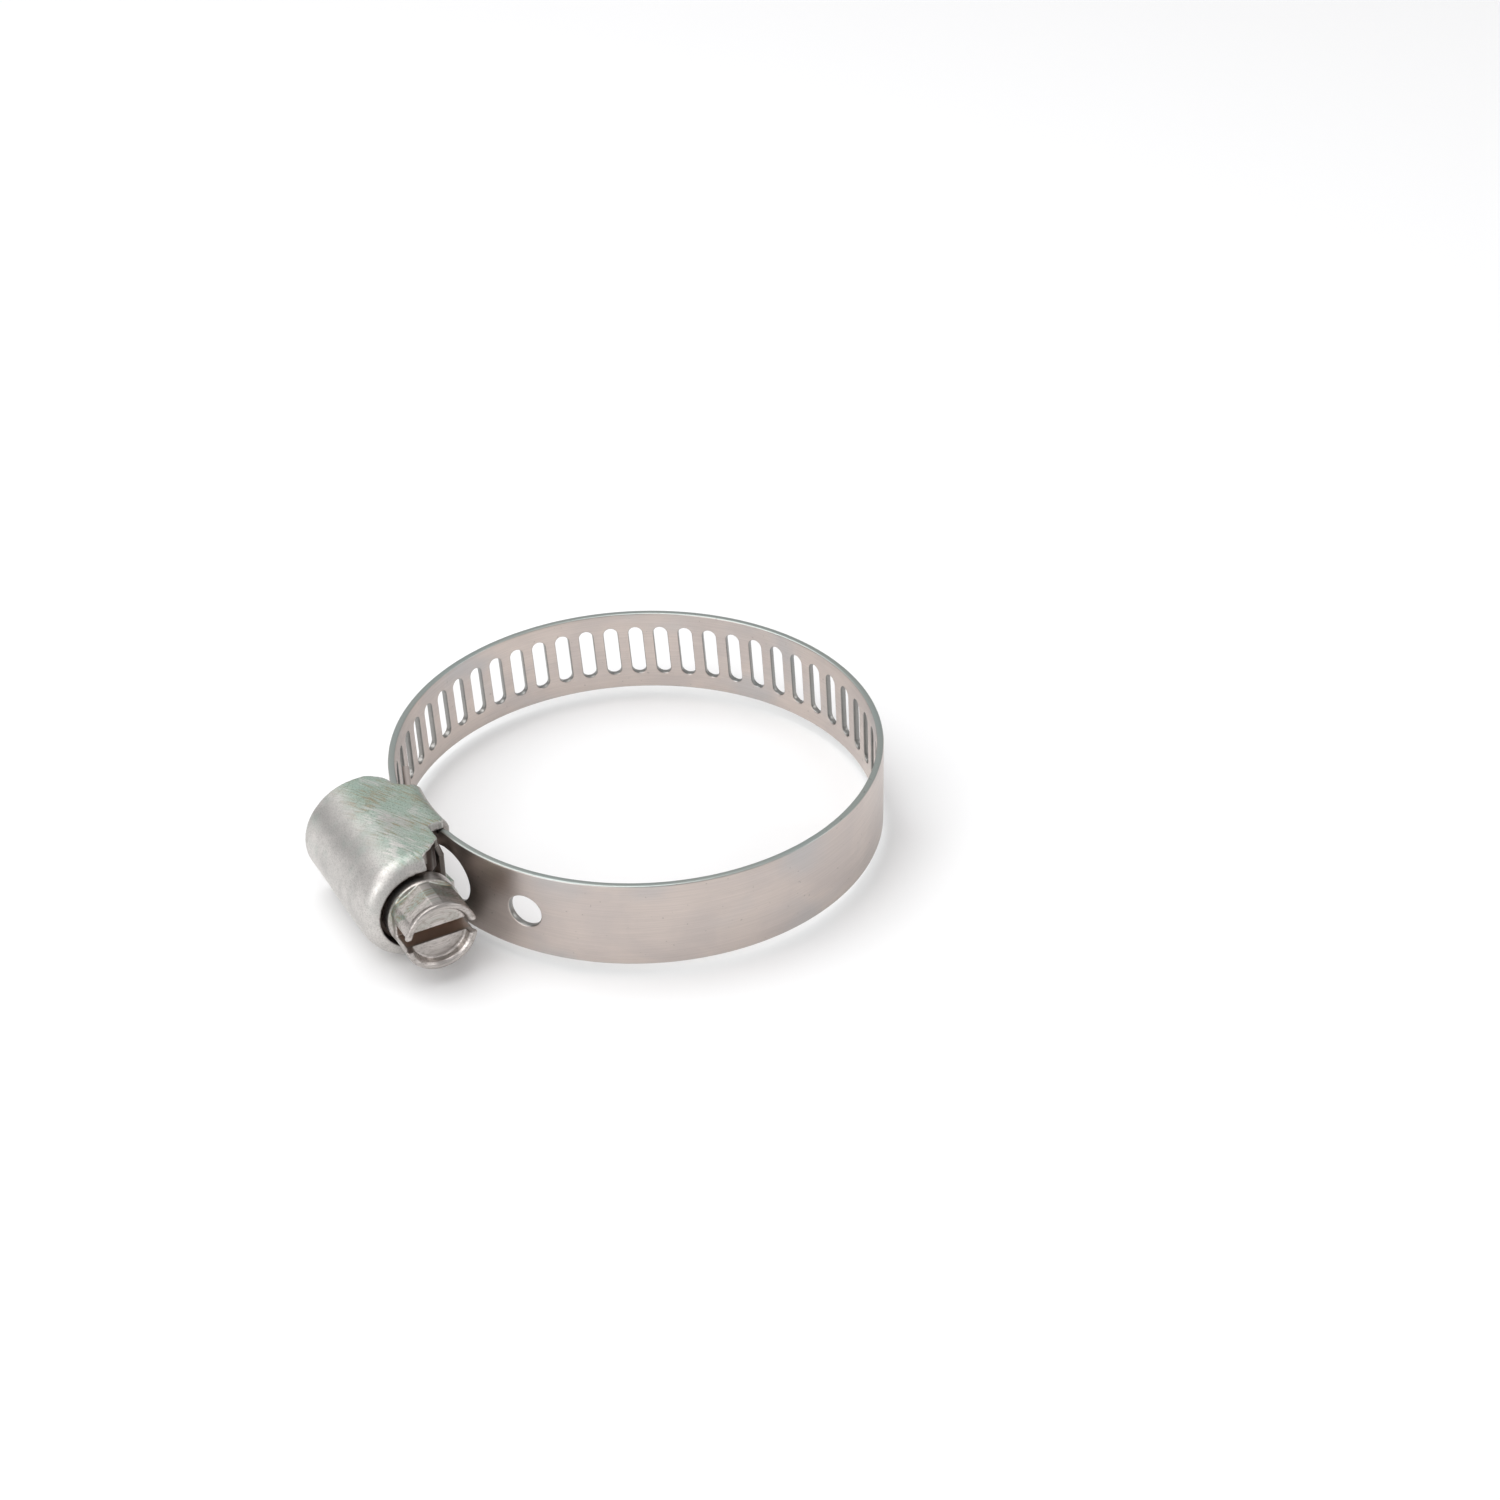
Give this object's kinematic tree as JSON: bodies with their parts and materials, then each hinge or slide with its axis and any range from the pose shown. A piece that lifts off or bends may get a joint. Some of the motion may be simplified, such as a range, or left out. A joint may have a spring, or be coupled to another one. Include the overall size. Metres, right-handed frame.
{
  "type": "hose clamp",
  "caption": "Worm-drive hose clamp: perforated steel band in a ring, stamped housing with feet, slotted hex-head worm screw that draws the band's tail through to tighten the ring.",
  "frame": {"origin": "under the middle of the bounding box, on the plane that the housing's flat side lies on", "axes": "+Z along the hose axis, up from the flat side that the clamp lies on; the screw lies along Y on the -X side of the ring, with its head towards -Y"},
  "size_m": [0.0502, 0.0424, 0.01],
  "materials": {
    "band_steel": "rolled stainless strip with a fine lengthwise grain",
    "housing_steel": "stamped stainless sheet, satin, lightly stained green and brown",
    "screw_steel": "formed steel, bright on edges, lightly stained on the hex"
  },
  "bodies": {
    "housing": {"housing": "housing_steel", "band_fixed_end": "band_steel"},
    "screw": {"worm_screw": "screw_steel"},
    "band_01": {"band_length_01": "band_steel"},
    "band_02": {"band_length_02": "band_steel"},
    "band_03": {"band_length_03": "band_steel"},
    "band_04": {"band_length_04": "band_steel"},
    "band_05": {"band_length_05": "band_steel"},
    "band_06": {"band_length_06": "band_steel"},
    "band_07": {"band_length_07": "band_steel"},
    "band_08": {"band_length_08": "band_steel"},
    "band_09": {"band_length_09": "band_steel"},
    "band_10": {"band_length_10": "band_steel"},
    "band_11": {"band_length_11": "band_steel"},
    "band_12": {"band_length_12": "band_steel"},
    "band_13": {"band_length_13": "band_steel"},
    "band_14": {"band_length_14": "band_steel"},
    "band_15": {"band_length_15": "band_steel"},
    "band_16": {"band_length_16": "band_steel"},
    "band_17": {"band_length_17": "band_steel"},
    "band_18": {"band_length_18": "band_steel"},
    "band_tail": {"band_tail": "band_steel"}
  },
  "joints": [
    {"name": "screw_turn", "type": "hinge", "parent": "housing", "child": "screw", "pos_m": [-0.02015, -0.00053, 0.005], "axis": [0, 1, 0], "range_deg": [0, 2160]},
    {"name": "band_flex_01", "type": "hinge", "parent": "housing", "child": "band_01", "pos_m": [-0.01587, -0.0047, 0.005], "axis": [0, 0, 1], "range_deg": [0, 2.6]},
    {"name": "band_flex_02", "type": "hinge", "parent": "band_01", "child": "band_02", "pos_m": [-0.01329, -0.01116, 0.005], "axis": [0, 0, 1], "range_deg": [0, 2.4]},
    {"name": "band_flex_03", "type": "hinge", "parent": "band_02", "child": "band_03", "pos_m": [-0.00869, -0.01638, 0.005], "axis": [0, 0, 1], "range_deg": [0, 2.4]},
    {"name": "band_flex_04", "type": "hinge", "parent": "band_03", "child": "band_04", "pos_m": [-0.00261, -0.01975, 0.005], "axis": [0, 0, 1], "range_deg": [0, 2.35]},
    {"name": "band_flex_05", "type": "hinge", "parent": "band_04", "child": "band_05", "pos_m": [0.00425, -0.0209, 0.005], "axis": [0, 0, 1], "range_deg": [0, 2.35]},
    {"name": "band_flex_06", "type": "hinge", "parent": "band_05", "child": "band_06", "pos_m": [0.0111, -0.01969, 0.005], "axis": [0, 0, 1], "range_deg": [0, 2.3]},
    {"name": "band_flex_07", "type": "hinge", "parent": "band_06", "child": "band_07", "pos_m": [0.01717, -0.01628, 0.005], "axis": [0, 0, 1], "range_deg": [0, 2.3]},
    {"name": "band_flex_08", "type": "hinge", "parent": "band_07", "child": "band_08", "pos_m": [0.02176, -0.01105, 0.005], "axis": [0, 0, 1], "range_deg": [0, 2.3]},
    {"name": "band_flex_09", "type": "hinge", "parent": "band_08", "child": "band_09", "pos_m": [0.02436, -0.0046, 0.005], "axis": [0, 0, 1], "range_deg": [0, 2.25]},
    {"name": "band_flex_10", "type": "hinge", "parent": "band_09", "child": "band_10", "pos_m": [0.0247, 0.00235, 0.005], "axis": [0, 0, 1], "range_deg": [0, 2.25]},
    {"name": "band_flex_11", "type": "hinge", "parent": "band_10", "child": "band_11", "pos_m": [0.02275, 0.00902, 0.005], "axis": [0, 0, 1], "range_deg": [0, 2.2]},
    {"name": "band_flex_12", "type": "hinge", "parent": "band_11", "child": "band_12", "pos_m": [0.01872, 0.0147, 0.005], "axis": [0, 0, 1], "range_deg": [0, 2.2]},
    {"name": "band_flex_13", "type": "hinge", "parent": "band_12", "child": "band_13", "pos_m": [0.01306, 0.01874, 0.005], "axis": [0, 0, 1], "range_deg": [0, 2.15]},
    {"name": "band_flex_14", "type": "hinge", "parent": "band_13", "child": "band_14", "pos_m": [0.00639, 0.02073, 0.005], "axis": [0, 0, 1], "range_deg": [0, 2.15]},
    {"name": "band_flex_15", "type": "hinge", "parent": "band_14", "child": "band_15", "pos_m": [-0.00056, 0.02046, 0.005], "axis": [0, 0, 1], "range_deg": [0, 2.1]},
    {"name": "band_flex_16", "type": "hinge", "parent": "band_15", "child": "band_16", "pos_m": [-0.00706, 0.01795, 0.005], "axis": [0, 0, 1], "range_deg": [0, 2.1]},
    {"name": "band_flex_17", "type": "hinge", "parent": "band_16", "child": "band_17", "pos_m": [-0.0124, 0.01349, 0.005], "axis": [0, 0, 1], "range_deg": [0, 2.05]},
    {"name": "band_flex_18", "type": "hinge", "parent": "band_17", "child": "band_18", "pos_m": [-0.01602, 0.00755, 0.005], "axis": [0, 0, 1], "range_deg": [0, 2.05]},
    {"name": "band_flex_19", "type": "hinge", "parent": "band_18", "child": "band_tail", "pos_m": [-0.01756, 0.00077, 0.005], "axis": [0, 0, 1], "range_deg": [0, 2.05]}
  ],
  "couplings": [
    {"joint": "band_flex_01", "follows": "screw_turn", "ratio": 0.0012002},
    {"joint": "band_flex_02", "follows": "screw_turn", "ratio": 0.0011069},
    {"joint": "band_flex_03", "follows": "screw_turn", "ratio": 0.0010963},
    {"joint": "band_flex_04", "follows": "screw_turn", "ratio": 0.0010856},
    {"joint": "band_flex_05", "follows": "screw_turn", "ratio": 0.001075},
    {"joint": "band_flex_06", "follows": "screw_turn", "ratio": 0.0010644},
    {"joint": "band_flex_07", "follows": "screw_turn", "ratio": 0.0010538},
    {"joint": "band_flex_08", "follows": "screw_turn", "ratio": 0.0010432},
    {"joint": "band_flex_09", "follows": "screw_turn", "ratio": 0.0010326},
    {"joint": "band_flex_10", "follows": "screw_turn", "ratio": 0.0010219},
    {"joint": "band_flex_11", "follows": "screw_turn", "ratio": 0.0010113},
    {"joint": "band_flex_12", "follows": "screw_turn", "ratio": 0.0010007},
    {"joint": "band_flex_13", "follows": "screw_turn", "ratio": 0.0009901},
    {"joint": "band_flex_14", "follows": "screw_turn", "ratio": 0.0009795},
    {"joint": "band_flex_15", "follows": "screw_turn", "ratio": 0.0009689},
    {"joint": "band_flex_16", "follows": "screw_turn", "ratio": 0.0009582},
    {"joint": "band_flex_17", "follows": "screw_turn", "ratio": 0.0009476},
    {"joint": "band_flex_18", "follows": "screw_turn", "ratio": 0.000937},
    {"joint": "band_flex_19", "follows": "screw_turn", "ratio": 0.0009264}
  ]
}
